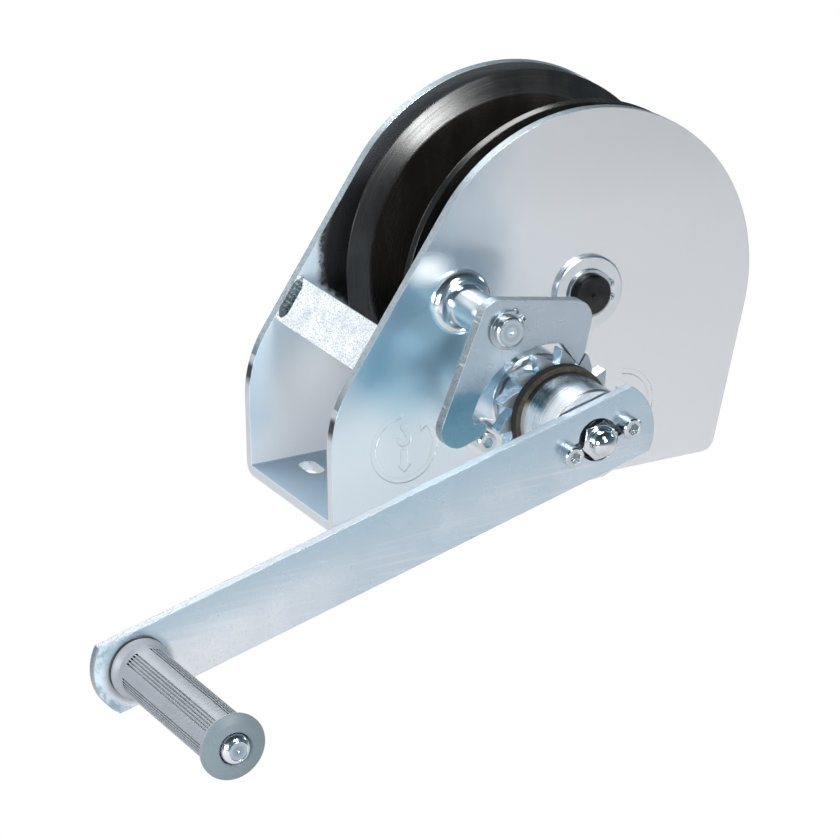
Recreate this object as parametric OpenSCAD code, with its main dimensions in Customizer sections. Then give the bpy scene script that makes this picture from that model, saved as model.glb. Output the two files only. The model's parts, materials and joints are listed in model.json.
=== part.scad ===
/* [Frame] */
// Outer width across the two side plates
frame_w = 94; // [90:0.5:110]
// Thickness of the bent frame sheet
sheet = 5; // [4:0.5:6]
// Length of the flat base along the rope direction
base_l = 147; // [140:1:160]
// Outer radius of the bends between the base and the side plates
bend_r = 6.5; // [6.2:0.1:7.5]
// Height of the drum axle above the underside of the base
axle_z = 97.7; // [96.5:0.1:104]
// Distance of the drum axle from the middle of the base
axle_x = 65.3; // [60:0.1:70]
// Radius of the rounded head of the side plates
head_r = 91.4; // [91.2:0.1:93]
// Direction in degrees that the sloping left edge faces
slope_a = 145.16; // [143:0.1:148]
// Fillet between the upright left edge and the sloping edge
slope_fillet = 59.2; // [30:0.1:65]
// Direction in degrees that the right edge faces
right_a = -14.1; // [-16:0.1:-12]
// Fillet of the lower right corner
right_fillet = 6.9; // [3:0.1:12]
// Height of the side plates' lower edge beyond the base
relief_z = 2.65; // [1.5:0.05:4]
// Length of the step from the base up to that edge
relief_l = 6; // [4:0.5:10]

/* [Base holes] */
// Distance of the slots from each end of the base
slot_end = 24.5; // [18:0.5:30]
// Distance between the two slots of a pair, across the base
slot_pitch = 51; // [46:0.5:55]
// Width of each slot, for an M8 bolt
slot_w = 9; // [8.5:0.1:11]
// Overall length of each slot, across the base
slot_l = 18; // [14:0.5:20]
// Diameter of the two holes on the centre line of the base
centre_hole_d = 7; // [5:0.1:9]

/* [Tie plate] */
// Width of the tie plate along the sloping edge
tie_w = 24; // [18:0.5:30]
// Thickness of the tie plate
tie_t = 5; // [3:0.5:8]
// Distance along the slope from the frame's left corner to the tie plate
tie_start = 25.5; // [20:0.1:40]

/* [Drum] */
// Radius of the drum flanges
flange_r = 91; // [88:0.1:91]
// Radius at which the flat web turns into the inclined rim
web_r = 80; // [70:0.5:82]
// Thickness of the flange sheet
flange_t = 3.2; // [2.5:0.1:3.8]
// How far the rim flares outwards from the web
rim_flare = 4.4; // [1:0.1:5]
// Gap between the drum gear and the side plate
gear_gap = 4.7; // [2:0.1:8]
// Outer radius of the barrel that the rope winds on
barrel_r = 38; // [36:0.5:42]
// Wall of the barrel
barrel_t = 4; // [3:0.5:6]
// Outer radius of the hub tube on the axle
hub_tube_r = 16; // [15.5:0.1:17]
// Running gap between the ends of the hub tube and the side plates
drum_float = 0.5; // [0.3:0.1:1]
// Radius of the rope hole in the far flange
rope_hole_r = 4.25; // [3.5:0.05:5]
// Distance from the barrel to the edge of the rope hole
rope_hole_gap = 1; // [0.5:0.1:3]

/* [Axle] */
// Radius of the drum axle
axle_r = 10; // [9:0.1:10.5]
// How far the axle stands out of each side plate
axle_out = 7; // [6.5:0.1:9]
// Outer radius of the axle washers
axle_washer_r = 18.7; // [16:0.1:20]
// Thickness of the axle washers
axle_washer_t = 2.5; // [2:0.1:3]
// Outer radius of the bronze bushes in the drum
drum_bush_r = 12.5; // [12:0.1:13]
// Length of the bronze bushes in the drum
drum_bush_l = 20; // [12:0.5:30]

/* [Gears] */
// Module of the gear teeth
gear_m = 2; // [1.98:0.01:2]
// Teeth of the drum gear
gear_z = 48; // [48:1:48]
// Teeth of the pinion
pinion_z = 10; // [10:1:10]
// Width of the drum gear
gear_w = 10; // [6:0.5:12]
// Profile shift of the pinion, taken off the drum gear
gear_shift = 0.4; // [0.3:0.05:0.5]
// Thinning of each tooth flank at the pitch circle
flank_play = 0.12; // [0.08:0.01:0.2]
// Direction in degrees from the drum axle to the drive shaft
shaft_a = 222.7; // [221:0.1:225]

/* [Drive shaft] */
// Radius of the shaft in its bearing
journal_r = 9; // [8.8:0.1:9.3]
// Radius of the shaft's front part, under the hub
screw_r = 8.5; // [8:0.1:8.6]
// Radius of the stud for the dome nut
stud_r = 5; // [4.5:0.1:5.5]
// Running clearance of shafts in their bushes
run_gap = 0.06; // [0.04:0.01:0.1]
// Play between parts that face each other on the shaft
face_gap = 0.1; // [0.08:0.01:0.2]

/* [Bearing housing] */
// Radius of the bearing housing
housing_r = 23.5; // [22:0.1:25]
// Thickness of the housing's foot flange
housing_foot = 8; // [6:0.1:9]
// Distance from the side plate to the housing's front face
housing_out = 26.4; // [24:0.1:28]
// Radius of the spigot that centres the housing in the plate
spigot_r = 15; // [14:0.1:16]
// Distance of the housing screws from the shaft
housing_screw_pcr = 29.4; // [29.2:0.1:32]
// Direction in degrees of the first housing screw
housing_screw_a = 228; // [224:1:232]

/* [Brake and ratchet] */
// Thickness of the brake flange on the shaft
brake_flange_t = 9; // [7:0.1:9.5]
// Radius of the brake flange
brake_flange_r = 21; // [19:0.1:21.5]
// Thickness of the rear friction disc
lining_t = 3.3; // [2.5:0.1:3.5]
// Thickness of the front friction disc
front_lining_t = 4.6; // [3.5:0.1:5]
// Radius of the front friction disc
lining_r = 24.9; // [24:0.1:26]
// Thickness of the ratchet wheel
ratchet_t = 7; // [6:0.1:8]
// Number of ratchet teeth
ratchet_z = 14; // [14:1:14]
// Radius at the ratchet's tips
ratchet_tip_r = 31.5; // [31:0.1:31.6]
// Radius at the ratchet's roots
ratchet_root_r = 23.4; // [22.5:0.1:23.8]
// Direction in degrees of the first ratchet tip
ratchet_a = 7.9; // [7.2:0.1:8]

/* [Pawl] */
// Pawl pivot, to the left of the drive shaft
pawl_dx = 26.3; // [26:0.1:26.6]
// Pawl pivot, above the drive shaft
pawl_dz = 46.7; // [46.4:0.1:47]
// Thickness of the pawl
pawl_t = 6; // [5:0.1:6.5]
// Radius of the pawl post
post_r = 10; // [9:0.1:11]
// Radius of the collar at the foot of the post
collar_r = 16.2; // [14:0.1:18]
// Height of that rounded collar
collar_h = 6; // [4.5:0.1:7]
// Radius of the pin that the pawl turns on
pawl_pin_r = 7.5; // [6.5:0.1:8]

/* [Crank] */
// Distance from the drive shaft to the grip
crank_r = 245; // [150:1:260]
// Angle in degrees that the crank hangs below level, to the left
crank_a = 14.9; // [0:0.1:20]
// Width of the crank bar
bar_w = 34.6; // [32:0.2:38]
// Thickness of the crank bar
bar_t = 5; // [4.5:0.1:6]
// Radius of the crank hub
hub_r = 22.4; // [21.5:0.1:23]
// Length of the crank hub in front of the friction disc
hub_l = 28.2; // [26:0.1:30]
// Height of the raised seat that the bar is screwed to
hub_seat = 1; // [0.5:0.1:1.5]
// Radius of the opening in the bar round the nut
opening_r = 10.5; // [10.3:0.1:10.8]
// Distance of each crank screw from the shaft
crank_screw_x = 16.1; // [15.9:0.1:16.5]

/* [Grip] */
// Outer radius of the grip's body
grip_r = 12.5; // [11.5:0.1:14]
// Length of the grip
grip_l = 98.6; // [85:0.2:110]
// Radius of the flange at the grip's outer end
grip_flange_r = 15.5; // [15:0.1:18]
// Radius of the steel pin inside the grip
grip_pin_r = 5.5; // [5:0.1:7]
// Groups of grooves round the grip
groove_groups = 6; // [4:1:6]
// Grooves in each group
groove_count = 5; // [3:1:6]
// Depth of the grooves
groove_d = 0.6; // [0.3:0.1:0.8]

/* [Screws] */
// Radius of an M6 shank
m6_r = 3; // [2.9:0.05:3.05]
// Radius of an M6 cap head
m6_head_r = 4.9; // [4.6:0.1:5]
// Height of an M6 cap head
m6_head_h = 6; // [5:0.1:6.5]
// Width across flats of the M6 key
m6_key = 5; // [4.5:0.1:5.5]

/* [Hidden] */
$fn = 96;

half_w = frame_w / 2;
inner_y = half_w - sheet;
base_h = base_l / 2;
gear_dist = gear_m * (gear_z + pinion_z) / 2;
shaft_x = axle_x + gear_dist * cos(shaft_a);
shaft_z = axle_z + gear_dist * sin(shaft_a);
pivot_x = shaft_x - pawl_dx;
pivot_z = shaft_z + pawl_dz;
web_out = inner_y - gear_gap - gear_w;
web_y = web_out - flange_t;
hub_end_y = inner_y - drum_float;
// clearance between parts that are fixed to each other
fit_gap = 0.05;
// places along the shaft, measured outwards from the near plate's outer face
flange_in = housing_out + 0.5;
flange_front = flange_in + brake_flange_t;
rear_lining_in = flange_front + face_gap;
ratchet_in = rear_lining_in + lining_t + face_gap;
ratchet_front = ratchet_in + ratchet_t;
front_lining_in = ratchet_front + face_gap;
hub_in = front_lining_in + front_lining_t + face_gap;
hub_front = hub_in + hub_l;
bar_in = hub_front + hub_seat;
bar_front = bar_in + bar_t;
nut_washer_t = 1;
nut_in = bar_in + face_gap + nut_washer_t;
pawl_in = ratchet_in + (ratchet_t - pawl_t) / 2;
pawl_front = pawl_in + pawl_t;
grip_in = bar_front + 1.4;
grip_out = grip_in + grip_l;

// a cylinder across the winch, from d0 to d1 outwards of the near plate
module bar_y(r, d0, d1, x, z) {
    translate([x, -half_w - d1, z]) rotate([-90, 0, 0]) cylinder(r = r, h = d1 - d0);
}
// the same for a flat outline drawn as seen from the crank side
module plate_y(d0, d1, x = 0, z = 0) {
    translate([x, -half_w - d0, z]) rotate([90, 0, 0]) linear_extrude(d1 - d0) children();
}
// a turned piece, whose points are [radius, outward place]
module turned(points, x, z) {
    translate([x, -half_w, z]) rotate([90, 0, 0]) rotate_extrude() polygon(points);
}
// a ring across the winch
module ring_y(r_in, r_out, d0, d1, x, z) {
    turned([[r_in, d0], [r_out, d0], [r_out, d1], [r_in, d1]], x, z);
}
// a mirrored pair, on the near and the far side
module both_sides() {
    children();
    mirror([0, 1, 0]) children();
}
function polar(r, a) = [r * cos(a), r * sin(a)];
function turned_at(r, a) = [r * cos(a), 0, r * sin(a)];
function arc(mid, r, a0, a1, n = 12) = [for (i = [0:n]) mid + polar(r, a0 + (a1 - a0) * i / n)];

// side plate outline
slope_n = polar(1, slope_a);
slope_d = [slope_n[1], -slope_n[0]];
slope_top = [axle_x, axle_z] + head_r * slope_n;
slope_corner_z = axle_z + (head_r - slope_n[0] * (-base_h - axle_x)) / slope_n[1];
slope_cut = slope_fillet * tan((180 - slope_a) / 2);
right_n = polar(1, right_a);
right_d = [-right_n[1], right_n[0]];
right_top = [axle_x, axle_z] + head_r * right_n;
right_corner_x = axle_x + (head_r - right_n[1] * (relief_z - axle_z)) / right_n[0];
right_cut = right_fillet * tan((90 + right_a) / 2);

module side_outline() {
    slope_corner = [-base_h, slope_corner_z];
    slope_low = [-base_h, slope_corner_z - slope_cut];
    right_corner = [right_corner_x, relief_z];
    right_low = [right_corner_x - right_cut, relief_z];
    difference() {
        union() {
            translate([axle_x, axle_z]) circle(head_r, $fn = 180);
            polygon([[-base_h, 0], [base_h, 0], [base_h + relief_l, relief_z], right_corner,
                right_top, [axle_x, axle_z], slope_top, slope_corner]);
        }
        difference() {
            polygon([slope_low, slope_low - [1, 0], slope_corner + [-1, 1],
                slope_corner + slope_cut * slope_d]);
            translate([-base_h + slope_fillet, slope_low[1]]) circle(slope_fillet, $fn = 180);
        }
        difference() {
            polygon([right_low, right_low - [0, 1], right_corner + [1, -1],
                right_corner + right_cut * right_d]);
            translate([right_low[0], relief_z + right_fillet]) circle(right_fillet);
        }
    }
}
module rounded_channel(half, floor_z, r, top) {
    translate([-half, floor_z + r]) square([2 * half, top - floor_z - r]);
    translate([-half + r, floor_z]) square([2 * (half - r), r + 1]);
    for (s = [-1, 1]) translate([s * (half - r), floor_z + r]) circle(r);
}
module channel_section(top) {
    difference() {
        rounded_channel(half_w, 0, bend_r, top);
        rounded_channel(inner_y, sheet, bend_r - sheet, top + 1);
    }
}
mark_r = 17.8;
mark_band = 2.6;
mark_depth = 0.3;
module mark_arrow() {
    polygon([[-1.9, -0.8], [1.9, -0.8], [1.9, -8.7], [3.5, -8.9], [0, -12.4], [-3.5, -8.9], [-1.9, -8.7]]);
}
module mark_hook() {
    bowl = 3.8;
    eye = 1.5;
    translate([0, 4.7]) difference() {
        circle(bowl);
        circle(eye);
        polygon([[0, 0], [-2 * bowl, 0.35 * bowl], [-bowl, 2 * bowl], [0.3 * bowl, 2 * bowl]]);
    }
    polygon([[0.6, 7.2], [3.2, 6.9], [1.9, 9.6], [1.6, 11.9], [0, 12.7], [-1.6, 11.9], [-1.9, 10.4]]);
}
// a turning arrow round a hook and a straight arrow, drawn for lifting or for lowering
module turn_mark(lifting) {
    difference() {
        circle(mark_r);
        circle(mark_r - mark_band);
        polygon([[0, 0], polar(2 * mark_r, 40), polar(2 * mark_r, 66), polar(2 * mark_r, 92)]);
    }
    polygon([polar(16.3, 59), polar(mark_r - mark_band - 4, 36), polar(mark_r - mark_band - 0.1, 37),
        polar(mark_r + 0.1, 38), polar(mark_r + 3, 41)]);
    rotate(lifting ? 180 : 0) mark_arrow();
    translate([0, lifting ? -13.6 : 0]) mark_hook();
}
module base_slot() {
    for (s = [-1, 1]) translate([0, s * (slot_l - slot_w) / 2, -1]) cylinder(d = slot_w, h = sheet + 2);
    translate([-slot_w / 2, -(slot_l - slot_w) / 2, -1]) cube([slot_w, slot_l - slot_w, sheet + 2]);
}
mark_left = [-34.8, 36.7];
mark_right = [84.3, 36.7];
module frame() {
    color("lightsteelblue") difference() {
        union() {
            intersection() {
                translate([-base_h, 0, 0]) rotate([90, 0, 90])
                    linear_extrude(base_l) channel_section(axle_z + head_r + 5);
                plate_y(-frame_w - 1, 1) side_outline();
            }
            both_sides() intersection() {
                plate_y(-sheet, 0) side_outline();
                translate([base_h, -frame_w, -1]) cube([2 * head_r, 2 * frame_w, 3 * head_r]);
            }
        }
        bar_y(axle_r + fit_gap, -frame_w - 1, 1, axle_x, axle_z);
        bar_y(spigot_r + fit_gap, -sheet - 1, 1, shaft_x, shaft_z);
        bar_y(pawl_pin_r + fit_gap, -sheet - 1, 1, pivot_x, pivot_z);
        housing_screw_places() bar_y(m6_r + fit_gap, -sheet - 1, 1, 0, 0);
        for (sx = [-1, 1]) {
            for (sy = [-1, 1]) translate([sx * (base_h - slot_end), sy * slot_pitch / 2, 0]) base_slot();
            translate([sx * (base_h - slot_end), 0, -1]) cylinder(d = centre_hole_d, h = sheet + 2);
        }
        plate_y(-mark_depth, 1, mark_left[0], mark_left[1]) turn_mark(false);
        plate_y(-mark_depth, 1, mark_right[0], mark_right[1]) mirror([1, 0]) turn_mark(true);
    }
}
module tie_plate() {
    low = [-base_h, slope_corner_z] + slope_d * tie_start;
    color("gainsboro") plate_y(-frame_w + sheet, -sheet)
        polygon([low, low + tie_w * slope_d, low + tie_w * slope_d - tie_t * slope_n,
            low - tie_t * slope_n]);
}

// drum axle and what holds it
groove_in = axle_washer_t + face_gap;
clip_t = 1.2;
clip_groove_d = 0.6;
// a circlip with two lugs, on a shaft of radius r
module circlip(r, width, d0, x, z, a) {
    plate_y(d0, d0 + clip_t, x, z) rotate(a) difference() {
        union() {
            circle(r + width);
            for (s = [-1, 1]) rotate(s * 17) translate([r + width - 0.3, 0]) circle(1.9);
        }
        circle(r - clip_groove_d + fit_gap);
        for (s = [-1, 1]) rotate(s * 17) translate([r + width, 0]) circle(0.8, $fn = 24);
        polygon([[0, 0], polar(2 * r, -9), polar(2 * r, 9)]);
    }
}
axle_edge = 1;
dimple_r = 1.2;
module drum_axle() {
    near = [[axle_r, groove_in], [axle_r - clip_groove_d, groove_in],
        [axle_r - clip_groove_d, groove_in + clip_t + face_gap], [axle_r, groove_in + clip_t + face_gap],
        [axle_r, axle_out - axle_edge], [axle_r - axle_edge, axle_out], [dimple_r, axle_out],
        [0, axle_out - dimple_r]];
    far = [for (i = [len(near) - 1:-1:0]) [near[i][0], -frame_w - near[i][1]]];
    color("dimgray") turned(concat(near, far), axle_x, axle_z);
}
module axle_washers() {
    edge = 0.9;
    color("silver") both_sides() turned([[axle_r + 0.1, 0], [axle_washer_r, 0],
        [axle_washer_r, axle_washer_t - edge], [axle_washer_r - 0.3 * edge, axle_washer_t - 0.3 * edge],
        [axle_washer_r - edge, axle_washer_t], [axle_r + 0.1, axle_washer_t]], axle_x, axle_z);
}
module axle_circlips() {
    color("silver") both_sides() circlip(axle_r, 2.1, groove_in, axle_x, axle_z, 0);
}

// drum
module drum_barrel() {
    color("black") ring_y(barrel_r - barrel_t, barrel_r, -half_w - web_y, -half_w + web_y, axle_x, axle_z);
}
module drum_hub_tube() {
    color("black") ring_y(drum_bush_r + fit_gap, hub_tube_r, -half_w - hub_end_y, -half_w + hub_end_y,
        axle_x, axle_z);
}
flange_bend_r = 3;
// a dished flange on the near side, with its rim flaring towards the side plate
module flange_blank() {
    in_d = web_y - half_w;
    lean = atan2(rim_flare, flange_r - web_r);
    out_r = flange_bend_r + flange_t;
    mid = [web_r - out_r * tan(lean / 2), in_d + out_r];
    turned(concat([[hub_tube_r + fit_gap, in_d]], arc(mid, out_r, -90, lean - 90, 4),
        [[flange_r, in_d + rim_flare],
        [flange_r - flange_t * sin(lean), in_d + rim_flare + flange_t * cos(lean)]],
        arc(mid, flange_bend_r, lean - 90, -90, 4), [[hub_tube_r + fit_gap, in_d + flange_t]]),
        axle_x, axle_z);
}
rivet_pcr = 26;
rivet_r = 3;
rivet_count = 6;
module rivet_places() {
    for (i = [0:rivet_count - 1]) translate([axle_x, 0, axle_z] + turned_at(rivet_pcr, i * 360 / rivet_count))
        children();
}
module near_flange() {
    color("black") difference() {
        flange_blank();
        rivet_places() bar_y(rivet_r + fit_gap, -half_w, 0, 0, 0);
    }
}
rope_a = 60;
rope_hole_place = barrel_r + rope_hole_gap + rope_hole_r;
clamp_start = rope_hole_r + 1;
clamp_l = web_r - 3.5 - rope_hole_place - clamp_start;
clamp_w = 12;
clamp_t = 3;
clamp_screw_r = 2.5;
clamp_screw_step = 0.28 * clamp_l;
module at_rope_hole() {
    translate([axle_x, 0, axle_z] + turned_at(rope_hole_place, rope_a)) rotate([0, -rope_a, 0]) children();
}
module rope_clamp_places() {
    for (s = [-1, 1]) at_rope_hole() translate([0, 0, clamp_start + clamp_l / 2 + s * clamp_screw_step])
        children();
}
module far_flange() {
    color("black") difference() {
        mirror([0, 1, 0]) flange_blank();
        at_rope_hole() bar_y(rope_hole_r, -frame_w, -half_w, 0, 0);
        rope_clamp_places() bar_y(clamp_screw_r + fit_gap, -frame_w, -half_w, 0, 0);
    }
}
module drum_bushes() {
    color("peru") both_sides() ring_y(axle_r + run_gap, drum_bush_r, hub_end_y - half_w - drum_bush_l,
        hub_end_y - half_w, axle_x, axle_z);
}

// involute gear, with thickness and heights from the profile shift
pressure_a = 20;
function involute(r, rb) = r <= rb ? 0 : tan(acos(rb / r)) * 180 / PI - acos(rb / r);
function tooth_half(z, shift) = 90 / z
    + (2 * shift * tan(pressure_a) - 2 * flank_play / gear_m) / z * 180 / PI;
function base_circle(z) = gear_m * z / 2 * cos(pressure_a);
function flank_at(r, z, shift) = tooth_half(z, shift)
    + involute(gear_m * z / 2, base_circle(z)) - involute(r, base_circle(z));
module gear_outline(z, shift, tip_cut = 0) {
    rp = gear_m * z / 2;
    root = rp - gear_m * (1.25 - shift);
    tip = rp + gear_m * (1 + shift) - tip_cut;
    steps = 4;
    radii = [for (i = [0:steps]) root + (tip - root) * i / steps];
    polygon([for (t = [0:z - 1]) each concat(
        [for (i = [0:steps]) polar(radii[i], t * 360 / z - flank_at(radii[i], z, shift))],
        [for (i = [steps:-1:0]) polar(radii[i], t * 360 / z + flank_at(radii[i], z, shift))])]);
}
module drum_gear() {
    color("gray") difference() {
        plate_y(web_out - half_w, web_out - half_w + gear_w, axle_x, axle_z)
            rotate(shaft_a) gear_outline(gear_z, -gear_shift);
        bar_y(hub_tube_r + 2, -half_w, 0, axle_x, axle_z);
        rivet_places() bar_y(rivet_r + fit_gap, -half_w, 0, 0, 0);
    }
}
module gear_rivets() {
    head_h = 1.4;
    head_r = 5.2;
    color("gray") rivet_places() {
        bar_y(rivet_r, web_y - half_w, web_out - half_w + gear_w, 0, 0);
        bar_y(head_r, web_y - half_w - head_h, web_y - half_w, 0, 0);
    }
}
module rope_clamp() {
    color("silver") difference() {
        at_rope_hole() translate([-clamp_w / 2, web_out, clamp_start]) cube([clamp_w, clamp_t, clamp_l]);
        rope_clamp_places() bar_y(clamp_screw_r + fit_gap, -frame_w, -half_w, 0, 0);
    }
}
module rope_clamp_screws() {
    head_h = 2.7;
    head_r = 4.6;
    color("silver") rope_clamp_places() {
        bar_y(clamp_screw_r, -half_w - web_out - clamp_t, -half_w - web_y, 0, 0);
        bar_y(head_r, -half_w - web_out - clamp_t - head_h, -half_w - web_out - clamp_t, 0, 0);
    }
}

// bearing housing of the drive shaft
bush_r = journal_r + 3;
lobe_r = 8;
housing_screw_count = 3;
module housing_screw_places() {
    for (i = [0:housing_screw_count - 1])
        translate([shaft_x, 0, shaft_z]
            + turned_at(housing_screw_pcr, housing_screw_a + 360 / housing_screw_count * i)) children();
}
module bearing_housing() {
    edge = 0.8;
    color("silver") difference() {
        union() {
            turned([[bush_r + fit_gap, -sheet], [spigot_r, -sheet], [spigot_r, 0], [housing_r, 0],
                [housing_r, housing_out - edge], [housing_r - edge, housing_out],
                [bush_r + fit_gap, housing_out]], shaft_x, shaft_z);
            difference() {
                plate_y(0, housing_foot, shaft_x, shaft_z) for (i = [0:housing_screw_count - 1])
                    rotate(housing_screw_a + 360 / housing_screw_count * i) {
                        translate([0, -lobe_r]) square([housing_screw_pcr, 2 * lobe_r]);
                        translate([housing_screw_pcr, 0]) circle(lobe_r);
                    }
                bar_y(spigot_r + 1, -1, housing_foot + 1, shaft_x, shaft_z);
            }
        }
        housing_screw_places() bar_y(m6_r + fit_gap, -1, housing_foot + 1, 0, 0);
        housing_screw_places() bar_y(m6_head_r + fit_gap, housing_foot, housing_out + 1, 0, 0);
    }
}
m6_edge = 0.6;
m6_key_depth = 3.2;
// M6 cap screw with its head resting at d, and its shank reaching l further in
module cap_screw(d, l) {
    difference() {
        union() {
            bar_y(m6_r, d - l, d, 0, 0);
            turned([[0, d], [m6_head_r, d], [m6_head_r, d + m6_head_h - m6_edge],
                [m6_head_r - m6_edge, d + m6_head_h], [0, d + m6_head_h]], 0, 0);
        }
        plate_y(d + m6_head_h - m6_key_depth, d + m6_head_h + 1) circle(d = m6_key / cos(30), $fn = 6);
    }
}
module housing_screws() {
    color("silver") housing_screw_places() cap_screw(housing_foot, housing_foot + sheet);
}
module shaft_bush() {
    color("peru") ring_y(journal_r + run_gap, bush_r, -sheet, housing_out, shaft_x, shaft_z);
}

// drive shaft with its pinion
pinion_end = web_out + 0.7 - half_w;
pinion_gap = 0.4;
stud_l = 9;
key_w = 5;
key_h = 2.4;
key_in = flange_in + 0.5;
key_l = brake_flange_t - 1;
module shaft_key_box(gap) {
    low = [shaft_x - key_w / 2, -half_w - key_in - key_l, shaft_z + screw_r - key_h / 2];
    translate(low - [gap, gap, gap]) cube([key_w + 2 * gap, key_l + 2 * gap, key_h + 2 * gap]);
}
module drive_shaft() {
    color("gray") {
        difference() {
            turned([[0, -sheet - pinion_gap], [journal_r, -sheet - pinion_gap], [journal_r, flange_in],
                [screw_r, flange_in], [screw_r, bar_in + face_gap], [stud_r, bar_in + face_gap],
                [stud_r, nut_in + stud_l - 0.5], [stud_r - 0.5, nut_in + stud_l], [0, nut_in + stud_l]],
                shaft_x, shaft_z);
            shaft_key_box(0.02);
        }
        plate_y(pinion_end, -sheet - pinion_gap, shaft_x, shaft_z)
            rotate(shaft_a + 180 + 180 / pinion_z) gear_outline(pinion_z, gear_shift);
    }
}
module brake_flange() {
    color("silver") difference() {
        turned([[screw_r + fit_gap, flange_in], [brake_flange_r, flange_in],
            [brake_flange_r, flange_front - 0.5], [brake_flange_r - 0.5, flange_front],
            [screw_r + fit_gap, flange_front]], shaft_x, shaft_z);
        shaft_key_box(0.02);
    }
}
module brake_flange_key() {
    color("gray") shaft_key_box(0);
}

// ratchet wheel between its friction discs
sleeve_r = 12;
lining_gap = 0.4;
ratchet_bore_r = 15;
module ratchet_outline() {
    step = 360 / ratchet_z;
    tip_land = 2;
    flank_lean = 2;
    swell = 0.2;
    mid_r = (ratchet_tip_r + ratchet_root_r) / 2 + swell;
    polygon([for (i = [0:ratchet_z - 1]) each [
        polar(ratchet_tip_r, ratchet_a + i * step),
        polar(ratchet_root_r, ratchet_a + i * step + flank_lean),
        polar(mid_r, ratchet_a + (i + 0.52) * step),
        polar(ratchet_tip_r - 0.15, ratchet_a + (i + 1) * step - tip_land)]]);
}
module ratchet_wheel() {
    color("slategray") difference() {
        plate_y(ratchet_in, ratchet_front, shaft_x, shaft_z) ratchet_outline();
        bar_y(ratchet_bore_r, ratchet_in - 1, ratchet_front + 1, shaft_x, shaft_z);
    }
}
module ratchet_bush() {
    color("peru") ring_y(sleeve_r + run_gap, ratchet_bore_r - 0.02, ratchet_in, ratchet_front,
        shaft_x, shaft_z);
}
module rear_friction_disc() {
    color("saddlebrown") ring_y(sleeve_r + lining_gap, brake_flange_r - 0.5,
        rear_lining_in, rear_lining_in + lining_t, shaft_x, shaft_z);
}
module front_friction_disc() {
    color("saddlebrown") ring_y(sleeve_r + lining_gap, lining_r,
        front_lining_in, front_lining_in + front_lining_t, shaft_x, shaft_z);
}

// pawl and its post
pin_gap = 0.3;
module pawl_post() {
    clip_d = pawl_front + pin_gap;
    pin_end = clip_d + 4.7;
    pin_edge = 0.8;
    color("silver") turned(concat([[0, -sheet], [pawl_pin_r, -sheet], [pawl_pin_r, 0]],
        [for (a = [0:6:90]) [post_r + (collar_r - post_r) * cos(a), collar_h * sin(a)]],
        [[post_r, pawl_in - pin_gap], [pawl_pin_r, pawl_in - pin_gap],
        [pawl_pin_r, clip_d], [pawl_pin_r - clip_groove_d, clip_d],
        [pawl_pin_r - clip_groove_d, clip_d + clip_t + face_gap], [pawl_pin_r, clip_d + clip_t + face_gap],
        [pawl_pin_r, pin_end - pin_edge], [pawl_pin_r - pin_edge, pin_end], [1, pin_end], [0, pin_end - 1]]),
        pivot_x, pivot_z);
}
module pawl_circlip() {
    color("silver") circlip(pawl_pin_r, 2, pawl_front + pin_gap, pivot_x, pivot_z, 42);
}
// the outline's points are measured from the drive shaft
arm_tip = [-52, 1.9];
arm_tip_r = 9.4;
head_left = [-35.9, 63.1];
head_right = [21.5, 52.6];
head_left_r = 9;
head_right_r = 9.5;
throat = [-6, -5];
throat_r = 40.6;
ledge_z = 2.8;
claw_foot = [15.6, 28.4];
claw_x = 3.7;
shelf_z = 5.1;
arm_under = [-48.3, -6.7];
// a rounded corner between edges that face a0 and a1
function round_corner(corner, r, a0, a1) =
    arc(corner - polar(r / cos((a0 - a1) / 2), (a0 + a1) / 2), r, a0, a1);
module pawl_outline() {
    left_v = head_left - arm_tip;
    top_v = head_right - head_left;
    right_v = claw_foot - head_right;
    left_a = atan2(left_v[1], left_v[0]) - asin(arm_tip_r / norm(left_v)) + 90;
    top_a = atan2(top_v[1], top_v[0]) + 90;
    right_a = atan2(right_v[1], right_v[0]) + 90;
    under_a = atan2(arm_under[1] - arm_tip[1], arm_under[0] - arm_tip[0]) + 360;
    throat_from = acos((claw_x - throat[0]) / throat_r);
    throat_to = 180 - asin((shelf_z - throat[1]) / throat_r);
    polygon(concat([claw_foot, [14.8, 26.9], [12.3, 22.8], [11.5, 22.6], [10.9, 23.3], [4.3, 33.2]],
        arc(throat, throat_r, throat_from, throat_to, 20),
        [[-43.8, ledge_z], [-38.7, ledge_z], [-37.4, 0.8], [-38, -1.6], [-41.2, -4.2]],
        arc(arm_tip, arm_tip_r, under_a, left_a),
        round_corner(head_left, head_left_r, left_a, top_a),
        round_corner(head_right, head_right_r, top_a, right_a)));
}
module pawl() {
    color("lightsteelblue") difference() {
        plate_y(pawl_in, pawl_front, shaft_x, shaft_z) pawl_outline();
        bar_y(pawl_pin_r + fit_gap, pawl_in - 1, pawl_front + 1, pivot_x, pivot_z);
    }
}

// crank
module at_crank() {
    translate([shaft_x, 0, shaft_z]) rotate([0, -crank_a, 0]) children();
}
module crank_screw_places() {
    for (s = [-1, 1]) at_crank() translate([s * crank_screw_x, 0, 0]) children();
}
thread_l = 14;
crank_screw_l = bar_t + thread_l;
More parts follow.
